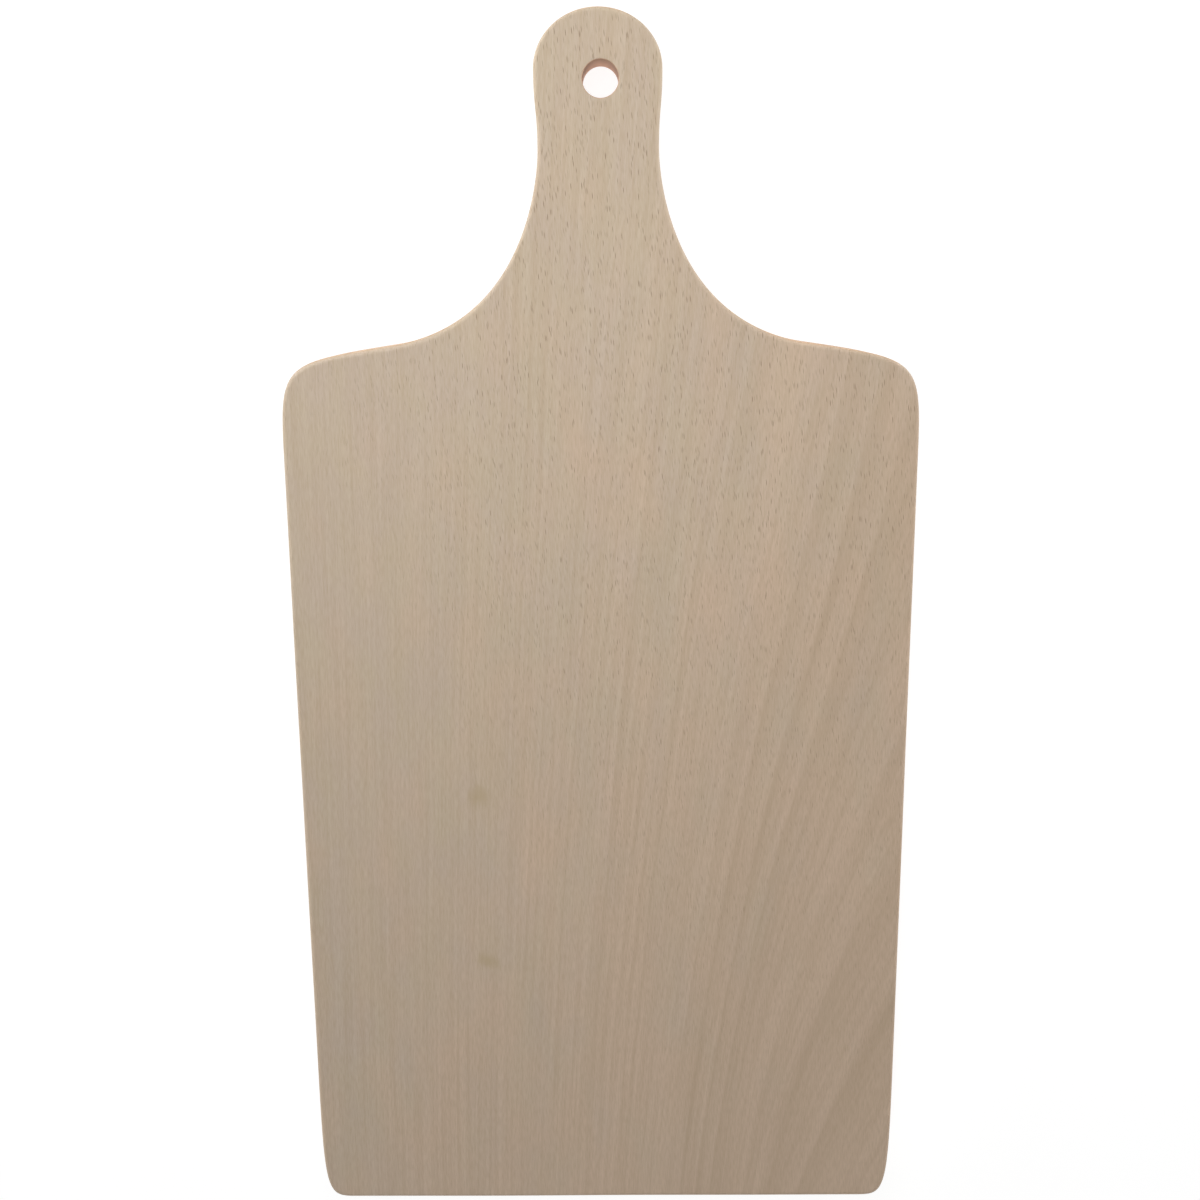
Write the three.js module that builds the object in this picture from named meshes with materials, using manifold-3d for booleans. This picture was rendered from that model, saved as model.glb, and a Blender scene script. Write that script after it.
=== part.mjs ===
// Wooden cutting board with a waisted handle and a hanging hole, shaped from one plank of beech.
// Millimetres. The board lies flat: +Z up out of the cutting face and +Y towards the handle.
// The origin is under the middle of the board, on the surface that it rests on.

import * as THREE from 'three';
import { mergeVertices } from 'three/addons/utils/BufferGeometryUtils.js';
import Module from 'manifold-3d';

// Driving dimensions
const LENGTH = 400; // from the foot edge to the tip of the handle
const WIDTH = 202;
const THICKNESS = 15;
const EDGE_ROUND = 1.5; // radius of the sanded edge around both faces

const HANDLE_LENGTH = 99; // from the tip down to where the neck runs out on the shoulders
const HANDLE_WIDTH = 39; // across the round end
const HANDLE_END = 17.5; // height of the round end, which is a little flatter than a half circle
const WAIST_WIDTH = 37; // across the narrowest part of the grip
const WAIST_FROM_TIP = 40;

const SHOULDER_SLOPE = 8.5; // degrees that the shoulders fall towards the sides
const SHOULDER_ACROSS = 36; // run of the soft shoulder corner, along the shoulder
const SHOULDER_DOWN = 32; // and down the side
const FOOT_ACROSS = 12; // run of the soft corner at the foot, along the foot edge
const FOOT_UP = 60; // and up the side

const HOLE_DIAMETER = 11;
const HOLE_ROUND = 0.4; // radius of the eased rim at both faces
const HOLE_FROM_TIP = 20.5;
const HOLE_OFFSET = 0.8; // the hole sits this far to the right of the middle

// How far the ends of a curve pull towards the corner where their tangents meet, from 0 to 1
const SOFT_CORNER = 1;
const NECK_LOW = 0.85;
const NECK_HIGH = 0.27;

// Fineness of the facets, and the distance within which vertices are one
const CURVE_STEPS = 16;
const ROUND_STEPS = 4; // facets across a rounded edge
const HOLE_SIDES = 48;
const WELD = 1e-4;
const MOST_ROUND = 0.49; // largest share of the thickness that one rounded edge may take

const BEECH = { color: 0xc1ae99, roughness: 0.62, metalness: 0 };

const tip = LENGTH / 2;
const foot = -LENGTH / 2;

const manifold = await Module();
manifold.setup();

// Bends the path from where it is to a new point, around the corner where the two tangents meet
function bend(path, corner, end, startPull, endPull) {
  const first = path.currentPoint.clone().lerp(corner, startPull);
  const second = end.clone().lerp(corner, endPull);
  path.bezierCurveTo(first.x, first.y, second.x, second.y, end.x, end.y);
}

// Right half of the outline, from the middle of the foot edge to the tip
function halfOutline() {
  const side = WIDTH / 2;
  const grip = HANDLE_WIDTH / 2;
  const waist = WAIST_WIDTH / 2;
  const waistHeight = tip - WAIST_FROM_TIP;
  const endHeight = tip - HANDLE_END;
  const fall = Math.tan(THREE.MathUtils.degToRad(SHOULDER_SLOPE));

  const footCorner = new THREE.Vector2(side, foot);
  const footEnd = new THREE.Vector2(side, foot + FOOT_UP);
  const shoulder = new THREE.Vector2(side - SHOULDER_ACROSS, tip - HANDLE_LENGTH);
  const shoulderCorner = new THREE.Vector2(side, shoulder.y - SHOULDER_ACROSS * fall);
  const neckCorner = new THREE.Vector2(waist, shoulder.y + (shoulder.x - waist) * fall);
  const neckEnd = new THREE.Vector2(waist, waistHeight);
  const swell = (waistHeight + endHeight) / 2;

  const path = new THREE.Path();
  path.moveTo(0, foot);
  path.lineTo(side - FOOT_ACROSS, foot);
  bend(path, footCorner, footEnd, SOFT_CORNER, SOFT_CORNER);
  path.lineTo(side, shoulderCorner.y - SHOULDER_DOWN);
  bend(path, shoulderCorner, shoulder, SOFT_CORNER, SOFT_CORNER);
  bend(path, neckCorner, neckEnd, NECK_LOW, NECK_HIGH);
  path.bezierCurveTo(waist, swell, grip, swell, grip, endHeight);
  path.absellipse(0, endHeight, grip, HANDLE_END, 0, Math.PI / 2);
  return path;
}

function outline() {
  const right = halfOutline().getPoints(CURVE_STEPS);
  const left = right.slice(1, -1).map((point) => new THREE.Vector2(-point.x, point.y));
  return new THREE.Shape([...right, ...left.reverse()]);
}

// The plank cut to its outline, with both faces' edges rounded
function blank() {
  const round = Math.min(EDGE_ROUND, THICKNESS * MOST_ROUND);
  const geometry = new THREE.ExtrudeGeometry(outline(), {
    depth: THICKNESS - 2 * round,
    bevelThickness: round,
    bevelSize: round,
    bevelOffset: -round,
    bevelSegments: ROUND_STEPS,
  });
  return geometry.translate(0, 0, round);
}

// What the drill and the sanding of its two rims take away
function holeCutter() {
  const radius = HOLE_DIAMETER / 2;
  const round = Math.min(HOLE_ROUND, THICKNESS * MOST_ROUND);
  const mouth = radius + round;
  const past = THICKNESS + round;
  const profile = new THREE.Path();
  profile.moveTo(0, -round);
  profile.lineTo(mouth, -round);
  profile.lineTo(mouth, 0);
  profile.absarc(mouth, round, round, 1.5 * Math.PI, Math.PI, true);
  profile.lineTo(radius, THICKNESS - round);
  profile.absarc(mouth, THICKNESS - round, round, Math.PI, 0.5 * Math.PI, true);
  profile.lineTo(mouth, past);
  profile.lineTo(0, past);
  const points = profile.getPoints(ROUND_STEPS / 2); // an arc gets two points for each division
  const geometry = new THREE.LatheGeometry(points, HOLE_SIDES);
  geometry.rotateX(Math.PI / 2);
  return geometry.translate(HOLE_OFFSET, tip - HOLE_FROM_TIP, 0);
}

function toSolid(geometry) {
  geometry.deleteAttribute('normal');
  geometry.deleteAttribute('uv');
  const welded = mergeVertices(geometry, WELD);
  return new manifold.Manifold(new manifold.Mesh({
    numProp: 3,
    vertProperties: welded.attributes.position.array,
    triVerts: new Uint32Array(welded.index.array),
  }));
}

function toGeometry(solid) {
  const { vertProperties, triVerts } = solid.getMesh();
  const geometry = new THREE.BufferGeometry();
  geometry.setAttribute('position', new THREE.BufferAttribute(vertProperties, 3));
  geometry.setIndex(new THREE.BufferAttribute(triVerts, 1));
  geometry.computeVertexNormals();
  return geometry;
}

function board() {
  const solid = toSolid(blank()).subtract(toSolid(holeCutter()));
  const mesh = new THREE.Mesh(toGeometry(solid), new THREE.MeshStandardMaterial(BEECH));
  mesh.name = 'board';
  return mesh;
}

const cuttingBoard = new THREE.Group();
cuttingBoard.add(board());

export default cuttingBoard;
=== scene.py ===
"""Looks of a beech cutting board with a waisted handle and a hanging hole.

Metres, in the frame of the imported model: +Z up out of the cutting face and +Y towards the handle.
The wood's own measures are in millimetres, because its grain is that fine.
"""

import math

import bmesh
import bpy
from mathutils import Color, Euler, Matrix, Vector
from mathutils.geometry import interpolate_bezier

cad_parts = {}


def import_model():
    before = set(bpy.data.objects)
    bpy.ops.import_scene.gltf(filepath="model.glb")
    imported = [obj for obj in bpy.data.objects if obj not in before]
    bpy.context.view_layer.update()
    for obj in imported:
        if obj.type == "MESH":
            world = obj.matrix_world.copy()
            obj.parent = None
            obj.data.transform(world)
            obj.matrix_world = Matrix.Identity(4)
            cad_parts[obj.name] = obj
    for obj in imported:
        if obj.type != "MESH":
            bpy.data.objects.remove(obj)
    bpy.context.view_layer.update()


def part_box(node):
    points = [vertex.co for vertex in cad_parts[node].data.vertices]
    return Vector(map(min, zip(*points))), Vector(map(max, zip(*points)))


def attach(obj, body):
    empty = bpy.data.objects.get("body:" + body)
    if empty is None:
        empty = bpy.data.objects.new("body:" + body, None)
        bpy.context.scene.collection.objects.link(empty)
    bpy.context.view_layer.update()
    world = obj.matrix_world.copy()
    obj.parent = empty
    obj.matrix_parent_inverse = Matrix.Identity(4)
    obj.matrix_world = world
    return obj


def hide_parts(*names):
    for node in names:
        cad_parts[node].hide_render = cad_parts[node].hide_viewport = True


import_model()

MM = 0.001

# Outline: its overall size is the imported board's
LOW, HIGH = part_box("board")
THICKNESS = HIGH.z - LOW.z
EDGE_ROUND = 1.5 * MM
EDGE_WAVES = ((0.1, 5, 0), (0.06, 13, 1))  # its unevenness: share of the radius, waves around, start
HANDLE_LENGTH = 99 * MM
HANDLE_WIDTH = 39 * MM
HANDLE_END = 17.5 * MM
WAIST_WIDTH = 37 * MM
WAIST_FROM_TIP = 40 * MM
SHOULDER_SLOPE = math.radians(8.5)
SHOULDER_ACROSS = 36 * MM
SHOULDER_DOWN = 32 * MM
FOOT_ACROSS = 12 * MM
FOOT_UP = 60 * MM
SOFT_CORNER = 1
NECK_LOW = 0.85
NECK_HIGH = 0.27

HOLE_DIAMETER = 11 * MM
HOLE_ROUND = 0.4 * MM
HOLE_FROM_TIP = 20.5 * MM
HOLE_OFFSET = 0.8 * MM

# Fineness of the mesh
STEP = 1.2 * MM
ROUND_STEPS = 8
HOLE_SIDES = 96
FLAT_MARGIN = 0.8 * MM  # flat ring inside a rounded edge, which keeps the face's shading level

# The tree, in millimetres: its pith runs beside and under the board, aslant and a little bowed
PITH_ACROSS = 131.1  # to the right of the middle, at the middle of the length
PITH_LEAN = 0.0996  # and nearer for each millimetre towards the handle
PITH_DOWN = 115  # below the underside, at the middle of the length
PITH_FALL = 0.1954  # and deeper for each millimetre towards the handle
PITH_BOW = 0.00022  # and higher by this times the square of the way from the middle

# Near the right edge each year lies further from the pith, by this for each millimetre towards the handle
BULGE = 0.077
BULGE_ACROSS = (48, 110)  # to the right of the middle: where that sets in and where it is full

# Years whose late wood shows: distance of its outer side from the pith, and how dark it is
YEARS = (
    (116.2, 0.5), (120.2, 0.95), (126.4, 0.8), (131.2, 0.45), (140.4, 0.8),
    (144.3, 1.0), (149.1, 0.85), (153.0, 0.5), (164.4, 0.35), (166.6, 0.7),
    (169.5, 0.4), (172.4, 0.55), (175.5, 0.5), (178.4, 0.75), (181.0, 0.35),
)
YEAR_START = 1.0  # width of the step from one year's late wood to the next year's early wood
LATER_YEARS = 2.7  # width of each year further out

# Stains of pin knots in the cutting face, in millimetres: middle, half width, half length and turn
STAINS = (
    ((-42, -48), 4.4, 5.2, math.radians(-10)),
    ((-40, -108), 3.2, 5.4, math.radians(58)),
)
STAIN_DEPTH = 6.0

# Camera: where the photograph was taken from
CAMERA_PLACE = Vector((2.97, 117.13, 459.04)) * MM
CAMERA_TURN = Euler((math.radians(-12.44), math.radians(0.434), math.radians(-0.331)), "ZYX")
CAMERA_LENS = 42
CAMERA_SENSOR = 36

# Lamps, in metres and watts: name, place, point aimed at, diameter and power
LAMPS = (
    ("key", (-0.04, 0.208, 0.333), (0, 0.083, 0), 0.4, 0.85),
    ("left_fill", (-0.9, 0.75, 0.15), (0, 0.05, 0), 0.28, 7.5),
    ("right_fill", (1.0, 0.6, 0.15), (0, 0.05, 0), 0.28, 6.0),
    ("front_fill", (-0.4, -2.2, 2.3), (0, 0, 0), 1.2, 30.0),
)

# Floor and surroundings
FLOOR_HALF = 4  # metres from its middle to its edges
FLOOR_GAP = 0.1 * MM  # below the underside, so that the two faces don't coincide
FLOOR_MATT = (0.9, 0.9, 0.9, 1)
FLOOR_SHADOW = (0.27, 0.27, 0.27, 1)
FLOOR_BOUNCE = 0.5
GLOW_ACROSS = (0.4, 1.5)  # metres from the middle, over which the floor's glow grows
GLOW = (0.86, 1.0)
AMBIENT = 0.08
WHITE = (1, 1, 1, 1)


def bend(points, corner, end, start_pull, end_pull):
    """Goes on to a new point, around the corner where the two tangents meet."""
    start = points[-1]
    first = start.lerp(corner, start_pull)
    second = end.lerp(corner, end_pull)
    curve(points, first, second, end)


def curve(points, first, second, end):
    start = points[-1]
    length = (first - start).length + (second - first).length + (end - second).length
    count = max(2, round(length / STEP))
    points.extend(interpolate_bezier(start, first, second, end, count + 1)[1:])


def line(points, end):
    start = points[-1]
    curve(points, start.lerp(end, 1 / 3), start.lerp(end, 2 / 3), end)


def arc(points, centre, width, height):
    """A quarter of an ellipse, from the right of its centre to above it."""
    count = round(math.hypot(width, height) / STEP)
    for index in range(1, count + 1):
        angle = math.pi / 2 * index / count
        points.append(centre + Vector((width * math.cos(angle), height * math.sin(angle))))


def half_outline():
    """Right half of the outline, from the middle of the foot edge to the tip."""
    side, tip, foot = HIGH.x, HIGH.y, LOW.y
    grip = HANDLE_WIDTH / 2
    waist = WAIST_WIDTH / 2
    waist_height = tip - WAIST_FROM_TIP
    end_height = tip - HANDLE_END
    swell = (waist_height + end_height) / 2
    fall = math.tan(SHOULDER_SLOPE)

    shoulder = Vector((side - SHOULDER_ACROSS, tip - HANDLE_LENGTH))
    shoulder_corner = Vector((side, shoulder.y - SHOULDER_ACROSS * fall))
    neck_corner = Vector((waist, shoulder.y + (shoulder.x - waist) * fall))
    grip_end = Vector((grip, end_height))

    points = [Vector((0, foot))]
    line(points, Vector((side - FOOT_ACROSS, foot)))
    bend(points, Vector((side, foot)), Vector((side, foot + FOOT_UP)), SOFT_CORNER, SOFT_CORNER)
    line(points, Vector((side, shoulder_corner.y - SHOULDER_DOWN)))
    bend(points, shoulder_corner, shoulder, SOFT_CORNER, SOFT_CORNER)
    bend(points, neck_corner, Vector((waist, waist_height)), NECK_LOW, NECK_HIGH)
    curve(points, Vector((waist, swell)), Vector((grip, swell)), grip_end)
    arc(points, Vector((0, end_height)), grip, HANDLE_END)
    return points


def outline():
    right = half_outline()
    left = [Vector((-point.x, point.y)) for point in reversed(right[1:-1])]
    return right + left


def inward_normals(points):
    normals = []
    for index in range(len(points)):
        along = points[(index + 1) % len(points)] - points[index - 1]
        normals.append(Vector((-along.y, along.x)).normalized())
    return normals


def hand_rounding(count):
    """Radius of the edge at each point around the board: sanded by hand, it is a little uneven."""
    turns = [2 * math.pi * index / count for index in range(count)]
    radii = []
    for turn in turns:
        uneven = sum(share * math.sin(waves * turn + start) for share, waves, start in EDGE_WAVES)
        radii.append(EDGE_ROUND * (1 + uneven))
    return radii


def edge_profile(rounding):
    """How far in and how high the rings of a rounded edge lie, from the underside to the cutting face."""
    quarter = [math.pi / 2 * index / ROUND_STEPS for index in range(ROUND_STEPS + 1)]
    upper = [(rounding * (1 - math.cos(a)), THICKNESS - rounding * (1 - math.sin(a))) for a in quarter]
    upper.append((rounding + FLAT_MARGIN, THICKNESS))
    lower = [(inset, THICKNESS - height) for inset, height in reversed(upper)]
    return lower + upper


def rings(bm, points, normals, roundings):
    """Rings of vertices of a rounded edge that follows the points."""
    columns = []
    for point, normal, rounding in zip(points, normals, roundings):
        profile = edge_profile(rounding)
        columns.append([bm.verts.new((*(point + normal * inset), height)) for inset, height in profile])
    return list(zip(*columns))


def skin(bm, loops):
    for lower, upper in zip(loops, loops[1:]):
        for index in range(len(lower)):
            bm.faces.new((lower[index - 1], lower[index], upper[index], upper[index - 1]))


def fill(bm, loops, normal):
    edges = []
    for loop in loops:
        edges.extend(bm.edges.get((loop[index - 1], loop[index])) for index in range(len(loop)))
    bmesh.ops.triangle_fill(bm, edges=edges, normal=normal, use_beauty=True)


def board_mesh():
    bm = bmesh.new()
    points = outline()
    side_rings = rings(bm, points, inward_normals(points), hand_rounding(len(points)))

    centre = Vector((HOLE_OFFSET, HIGH.y - HOLE_FROM_TIP))
    turn = [-2 * math.pi * index / HOLE_SIDES for index in range(HOLE_SIDES)]
    outward = [Vector((math.cos(a), math.sin(a))) for a in turn]
    wall = [centre + way * HOLE_DIAMETER / 2 for way in outward]
    hole_rings = rings(bm, wall, outward, [HOLE_ROUND] * HOLE_SIDES)

    skin(bm, side_rings)
    skin(bm, hole_rings)
    fill(bm, (side_rings[0], hole_rings[0]), (0, 0, -1))
    fill(bm, (side_rings[-1], hole_rings[-1]), (0, 0, 1))
    for face in bm.faces:
        face.smooth = True
    bmesh.ops.recalc_face_normals(bm, faces=bm.faces)
    mesh = bpy.data.meshes.new("beech_board")
    bm.to_mesh(mesh)
    bm.free()
    return mesh


class Nodes:
    """Adds nodes to a tree. An input is a plain value or the output of another node."""

    def __init__(self, tree):
        self.tree = tree

    def add(self, kind, inputs, output=0, **settings):
        node = self.tree.nodes.new("ShaderNode" + kind)
        for name, value in settings.items():
            setattr(node, name, value)
        for name, value in inputs.items():
            if isinstance(value, bpy.types.NodeSocket):
                self.tree.links.new(value, node.inputs[name])
            else:
                node.inputs[name].default_value = value
        return node.outputs[output] if node.outputs else None

    def math(self, operation, *values):
        return self.add("Math", dict(enumerate(values)), operation=operation)

    def vector_math(self, operation, *values, output=0):
        return self.add("VectorMath", dict(enumerate(values)), output, operation=operation)

    def combine(self, x, y, z):
        return self.add("CombineXYZ", {"X": x, "Y": y, "Z": z})

    def noise(self, place, cell, detail=2.0):
        """Smooth noise around zero, with features as large as the cell."""
        scaled = self.vector_math("DIVIDE", place, cell)
        value = self.add("TexNoise", {"Vector": scaled, "Scale": 1.0, "Detail": detail}, "Fac")
        return self.math("SUBTRACT", value, 0.5)

    def step(self, value, start, end, low=0.0, high=1.0):
        """Goes softly from low to high as the value goes from start to end."""
        inputs = {"Value": value, "From Min": start, "From Max": end, "To Min": low, "To Max": high}
        return self.add("MapRange", inputs, interpolation_type="SMOOTHSTEP")

    def mix(self, factor, first, second, blend="MIX"):
        inputs = {0: factor, 6: first, 7: second}
        return self.add("Mix", inputs, 2, data_type="RGBA", blend_type=blend)


def linear(red, green, blue):
    """A colour as a screen shows it, 0 to 255, in the renderer's own terms."""
    colour = Color((red / 255, green / 255, blue / 255)).from_srgb_to_scene_linear()
    return (*colour, 1)


BEECH_OLIVE = linear(202, 186, 163)
BEECH_GREY = linear(202, 185, 167)
BEECH_WARM = linear(213, 187, 163)
LATEWOOD = linear(180, 157, 130)
RAY = linear(132, 108, 86)
STAIN = linear(182, 161, 128)
# The hole's wall: lighter towards the underside as painted bounce light from the floor, darker near the
# cutting face as painted shade
DRILLED_PAINTED_BOUNCE_LIGHT = linear(230, 190, 164)
DRILLED_PAINTED_SHADE = linear(194, 156, 130)
END_TINT = (0.97, 0.85, 0.75, 1)  # the end grain lets less green and blue back out
END_LINE_TINT = (0.8, 0.67, 0.57, 1)

# Size of the wood's marks, in millimetres: across, along and down where nothing else is said
WANDER_CELL = (30.0, 90.0, 30.0)
LATER_CELL = (9.0, 1.0, 1.0)  # outward from the pith only
PATCH_CELL = (10.0, 26.0, 10.0)
WARM_CELL = (16.0, 40.0, 16.0)
FIBRE_CELL = (0.65, 45.0, 24.0)  # outward from the pith, along and down
PORE_CELL = (0.35, 3.5, 0.35)
RAY_CELL = (0.37, 3.9, 18.0)
STAIN_CELL = (2.5, 5.0, 5.0)
END_LINE_CELL = (0.5, 12.0, 8.0)  # around the pith, outward and along

# How fully each mark takes its own colour, from 0 to 1
WARM_SHARE = 0.85
LATE_SHARE = 0.4
LATER_SHARE = 0.5  # of what a year that shows has
FIBRE_SHARE = 0.27
PORE_SHARE = 0.38
STAIN_SHARE = 0.65
END_LINE_SHARE = 0.5
DRILLED_SHARE = 0.8

WANDER = 1.5  # how far the years wander, in millimetres
WARM_LEAN = -0.7  # the warm tone's border runs aslant, by this for each millimetre along
WARM_RAGGED = 450.0  # and is as ragged as this
WARM_ACROSS = (-265.0, 35.0)  # from no warm tone to all of it
RAY_FACING = (0.48, 0.68)  # how squarely the surface cuts the rays, from none shown to all
RAY_ALONG = (-300.0, 200.0)  # the rays grow darker towards the handle
END_SPREAD = 200.0  # distance from the pith at which the end grain's lines have their width
WALL_EDGE = (0.35, 0.05)  # outside the hole's radius: where the wall's colour sets in and where it is full
RELIEF_STRENGTH = 0.25
RELIEF_DEPTH = 0.05 * MM
ROUGHNESS = (0.56, 0.66)
SPECULAR = 0.3


class Wood:
    """A point of the board in millimetres, and where it lies in the tree that the board was cut from."""

    def __init__(self, nodes):
        metres = nodes.add("TexCoord", {}, "Object")
        self.place = nodes.vector_math("MULTIPLY", metres, (1 / MM, 1 / MM, 1 / MM))
        x = nodes.add("SeparateXYZ", {"Vector": self.place}, "X")
        z = nodes.add("SeparateXYZ", {"Vector": self.place}, "Z")
        self.along = nodes.add("SeparateXYZ", {"Vector": self.place}, "Y")
        nearer = nodes.math("MULTIPLY_ADD", self.along, PITH_LEAN, -PITH_ACROSS)
        self.across = nodes.math("ADD", x, nearer)
        self.height = nodes.math("ADD", z, PITH_DOWN)
        slope = nodes.math("MULTIPLY_ADD", self.along, -PITH_BOW, PITH_FALL)
        self.above = nodes.math("MULTIPLY_ADD", self.along, slope, self.height)
        outward = nodes.combine(self.across, 0.0, self.above)
        wander = nodes.noise(self.place, WANDER_CELL, 5.0)
        bulge = nodes.math("MULTIPLY", self.along, nodes.step(x, *BULGE_ACROSS, 0.0, BULGE))
        even = nodes.math("SUBTRACT", nodes.vector_math("LENGTH", outward, output="Value"), bulge)
        self.radius = nodes.math("MULTIPLY_ADD", wander, WANDER, even)
        self.normal = nodes.add("TexCoord", {}, "Normal")
        self.outward = nodes.vector_math("NORMALIZE", outward)


def named_years(nodes, wood):
    """Darkness of the late wood in the years that show, from a ramp with a sharp outer side to each."""
    first = YEARS[0][0]
    last = YEARS[-1][0] + YEAR_START
    share = nodes.math("DIVIDE", nodes.math("SUBTRACT", wood.radius, first), last - first)
    tone = nodes.add("ValToRGB", {"Fac": share}, "Color")
    ramp = tone.node.color_ramp
    for stop in list(ramp.elements)[1:]:
        ramp.elements.remove(stop)
    ramp.elements[0].color = (0, 0, 0, 1)
    for radius, dark in YEARS:
        late = ramp.elements.new((radius - first) / (last - first))
        late.color = (dark, dark, dark, 1)
        early = ramp.elements.new((radius + YEAR_START - first) / (last - first))
        early.color = (0, 0, 0, 1)
    return tone


def later_years(nodes, wood):
    """Darkness of the fainter late wood further out, which the ramp leaves bare."""
    beyond = nodes.math("SUBTRACT", wood.radius, YEARS[-1][0] + YEAR_START)
    uneven = nodes.noise(nodes.combine(wood.radius, 0.0, 0.0), LATER_CELL, 1.0)
    years = nodes.math("MULTIPLY_ADD", uneven, 2.0, nodes.math("DIVIDE", beyond, LATER_YEARS))
    season = nodes.math("FRACT", years)
    late = nodes.math("MULTIPLY", season, nodes.step(season, 1.0, 0.8))
    shown = nodes.math("MULTIPLY", nodes.step(beyond, 0.0, 2.0), nodes.step(beyond, 60.0, 20.0, 0.4, 1.0))
    return nodes.math("MULTIPLY", late, shown)


def fibre(nodes, wood):
    """Fine lines along the grain, which follow the years."""
    lines = nodes.combine(wood.radius, wood.along, wood.height)
    return nodes.noise(lines, FIBRE_CELL, 3.0)


def pores(nodes, wood):
    """Short, very fine streaks where vessels are cut open."""
    return nodes.noise(wood.place, PORE_CELL, 1.0)


def rays(nodes, wood):
    """Short dark spindles where the rays come out of the surface, gone where it runs along them."""
    top = PITH_DOWN + THICKNESS / MM
    sideways = nodes.math("MULTIPLY", nodes.math("DIVIDE", wood.across, wood.height), top)
    cells = nodes.vector_math("DIVIDE", nodes.combine(sideways, wood.along, wood.height), RAY_CELL)
    distance = nodes.add("TexVoronoi", {"Vector": cells, "Scale": 1.0, "Randomness": 0.85}, "Distance")
    chance = nodes.add("SeparateColor", {"Color": distance.node.outputs["Color"]}, "Red")
    spindle = nodes.math("MULTIPLY", nodes.step(distance, 0.36, 0.14), nodes.math("POWER", chance, 2.0))
    facing = nodes.vector_math("DOT_PRODUCT", wood.normal, wood.outward, output="Value")
    shown = nodes.step(nodes.math("ABSOLUTE", facing), *RAY_FACING)
    towards_handle = nodes.step(wood.along, *RAY_ALONG)
    return nodes.math("MULTIPLY", spindle, nodes.math("MULTIPLY", shown, towards_handle))


def stains(nodes, wood):
    """1 in the middle of a pin knot's stain, with a ragged rim."""
    ragged = nodes.noise(wood.place, STAIN_CELL)
    mark = 0.0
    for (x, y), width, length, turn in STAINS:
        inputs = {
            "Vector": wood.place,
            "Location": (x, y, THICKNESS / MM),
            "Rotation": (0, 0, turn),
            "Scale": (width, length, STAIN_DEPTH),
        }
        spot = nodes.add("Mapping", inputs, vector_type="TEXTURE")
        distance = nodes.vector_math("LENGTH", spot, output="Value")
        mark = nodes.math("MAXIMUM", mark, nodes.step(nodes.math("ADD", distance, ragged), 1.2, 0.0))
    return mark


def end_grain(nodes, wood):
    """1 where the surface cuts across the fibres."""
    along = nodes.add("SeparateXYZ", {"Vector": wood.normal}, "Y")
    return nodes.step(nodes.math("ABSOLUTE", along), 0.5, 1.0)


def end_lines(nodes, wood):
    """Rays on the end grain: thin lines that run out from the pith."""
    turn = nodes.math("MULTIPLY", nodes.math("ARCTAN2", wood.across, wood.above), END_SPREAD)
    return nodes.noise(nodes.combine(turn, wood.radius, wood.along), END_LINE_CELL, 1.0)


def drilled_wall_and_painted_light(nodes, wood, tone):
    """The wall of the hole, warmed by the drill and freshly cut; darker towards the cutting face as
    painted shade, lighter towards the underside as painted bounce light from the floor.
    """
    centre = (HOLE_OFFSET / MM, (HIGH.y - HOLE_FROM_TIP) / MM, 0)
    spoke = nodes.vector_math("MULTIPLY", nodes.vector_math("SUBTRACT", wood.place, centre), (1, 1, 0))
    away = nodes.vector_math("LENGTH", spoke, output="Value")
    radius = HOLE_DIAMETER / 2 / MM
    outer, inner = WALL_EDGE
    wall = nodes.step(away, radius + outer, radius + inner, 0.0, DRILLED_SHARE)
    # painted light: painted shade near the cutting face, painted bounce light towards the underside
    painted_shade_near_face = nodes.step(wood.height, PITH_DOWN, PITH_DOWN + THICKNESS / MM)
    return nodes.mix(wall, tone, nodes.mix(painted_shade_near_face, DRILLED_PAINTED_BOUNCE_LIGHT, DRILLED_PAINTED_SHADE))


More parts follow.
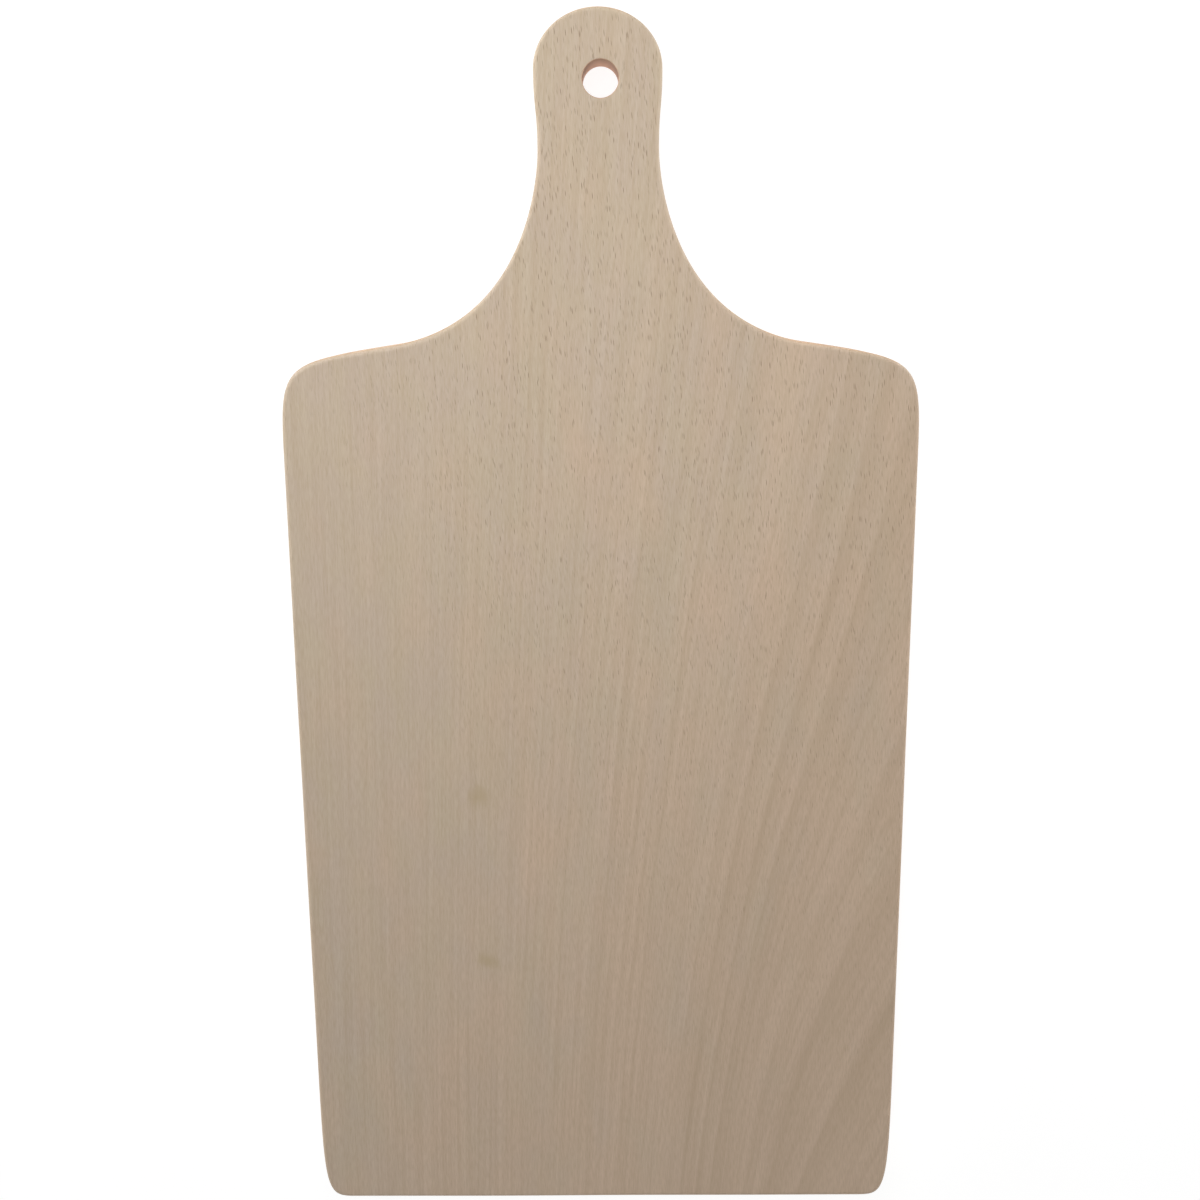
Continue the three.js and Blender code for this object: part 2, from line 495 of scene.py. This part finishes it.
def beech():
    material = bpy.data.materials.new("beech")
    material.use_nodes = True
    tree = material.node_tree
    nodes = Nodes(tree)
    wood = Wood(nodes)

    patches = nodes.noise(wood.place, PATCH_CELL)
    tone = nodes.mix(nodes.step(patches, -0.2, 0.2), BEECH_OLIVE, BEECH_GREY)
    drift = nodes.math("MULTIPLY_ADD", wood.along, WARM_LEAN, wood.across)
    drift = nodes.math("MULTIPLY_ADD", nodes.noise(wood.place, WARM_CELL), WARM_RAGGED, drift)
    tone = nodes.mix(nodes.step(drift, *WARM_ACROSS, 0.0, WARM_SHARE), tone, BEECH_WARM)
    late = nodes.math("MULTIPLY_ADD", later_years(nodes, wood), LATER_SHARE, named_years(nodes, wood))
    tone = nodes.mix(nodes.math("MULTIPLY", late, LATE_SHARE), tone, LATEWOOD)
    lines = fibre(nodes, wood)
    tone = nodes.mix(nodes.step(lines, -0.2, 0.25, 0.0, FIBRE_SHARE), tone, LATEWOOD)
    streaks = pores(nodes, wood)
    tone = nodes.mix(nodes.step(streaks, -0.2, 0.25, 0.0, PORE_SHARE), tone, LATEWOOD)
    tone = nodes.mix(rays(nodes, wood), tone, RAY)
    tone = nodes.mix(nodes.math("MULTIPLY", stains(nodes, wood), STAIN_SHARE), tone, STAIN)
    end_share = nodes.step(end_lines(nodes, wood), -0.1, 0.2, 0.0, END_LINE_SHARE)
    end_tint = nodes.mix(end_share, END_TINT, END_LINE_TINT)
    tone = nodes.mix(end_grain(nodes, wood), tone, end_tint, "MULTIPLY")
    tone = drilled_wall_and_painted_light(nodes, wood, tone)

    relief = nodes.math("ADD", lines, streaks)
    bump = nodes.add("Bump", {"Height": relief, "Strength": RELIEF_STRENGTH, "Distance": RELIEF_DEPTH})
    shader = tree.nodes["Principled BSDF"]
    tree.links.new(tone, shader.inputs["Base Color"])
    tree.links.new(nodes.step(lines, -0.25, 0.25, *ROUGHNESS), shader.inputs["Roughness"])
    tree.links.new(bump, shader.inputs["Normal"])
    shader.inputs["Specular IOR Level"].default_value = SPECULAR
    return material


def board():
    piece = bpy.data.objects.new("beech_board", board_mesh())
    bpy.context.scene.collection.objects.link(piece)
    piece.data.materials.append(beech())
    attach(piece, "root")
    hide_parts("board")


def camera():
    data = bpy.data.cameras.new("camera")
    data.lens = CAMERA_LENS
    data.sensor_width = CAMERA_SENSOR
    piece = bpy.data.objects.new("camera", data)
    piece.matrix_world = Matrix.LocRotScale(CAMERA_PLACE, CAMERA_TURN, None)
    bpy.context.scene.collection.objects.link(piece)
    bpy.context.scene.camera = piece


def lamp(name, place, aim, size, power):
    data = bpy.data.lights.new(name, "AREA")
    data.shape = "DISK"
    data.size = size
    data.energy = power
    piece = bpy.data.objects.new(name, data)
    piece.location = place
    piece.rotation_euler = (Vector(aim) - Vector(place)).to_track_quat("-Z", "Y").to_euler()
    piece.visible_camera = False
    bpy.context.scene.collection.objects.link(piece)


def seen(nodes):
    """1 for rays that show the surroundings: straight to the camera, by gloss or through glass."""
    path = nodes.tree.nodes.new("ShaderNodeLightPath")
    glossy = nodes.math("MAXIMUM", path.outputs["Is Camera Ray"], path.outputs["Is Glossy Ray"])
    return nodes.math("MAXIMUM", glossy, path.outputs["Is Transmission Ray"])


def floor():
    size = FLOOR_HALF
    mesh = bpy.data.meshes.new("floor")
    corners = [(-size, -size, 0), (size, -size, 0), (size, size, 0), (-size, size, 0)]
    mesh.from_pydata(corners, [], [(0, 1, 2, 3)])
    piece = bpy.data.objects.new("floor", mesh)
    piece.location.z = LOW.z - FLOOR_GAP
    bpy.context.scene.collection.objects.link(piece)

    material = bpy.data.materials.new("floor")
    material.use_nodes = True
    tree = material.node_tree
    tree.nodes.clear()
    nodes = Nodes(tree)
    matt = nodes.add("BsdfDiffuse", {"Color": FLOOR_MATT})
    below = nodes.add("Emission", {"Color": WHITE, "Strength": FLOOR_BOUNCE})
    bounce = nodes.add("AddShader", {0: matt, 1: below})
    shadow = nodes.add("BsdfDiffuse", {"Color": FLOOR_SHADOW})
    away = nodes.vector_math("LENGTH", nodes.add("TexCoord", {}, "Object"), output="Value")
    glow = nodes.add("Emission", {"Color": WHITE, "Strength": nodes.step(away, *GLOW_ACROSS, *GLOW)})
    white = nodes.add("AddShader", {0: shadow, 1: glow})
    shown = nodes.add("MixShader", {0: seen(nodes), 1: bounce, 2: white})
    nodes.add("OutputMaterial", {"Surface": shown})
    mesh.materials.append(material)


def world():
    made = bpy.data.worlds.new("studio")
    bpy.context.scene.world = made
    made.use_nodes = True
    tree = made.node_tree
    tree.nodes.clear()
    nodes = Nodes(tree)
    ambient = nodes.add("Background", {"Color": WHITE, "Strength": AMBIENT})
    white = nodes.add("Background", {"Color": WHITE, "Strength": 1.0})
    shown = nodes.add("MixShader", {0: seen(nodes), 1: ambient, 2: white})
    nodes.add("OutputWorld", {"Surface": shown})


board()
floor()
world()
for settings in LAMPS:
    lamp(*settings)
camera()
bpy.context.scene.view_settings.view_transform = "Standard"
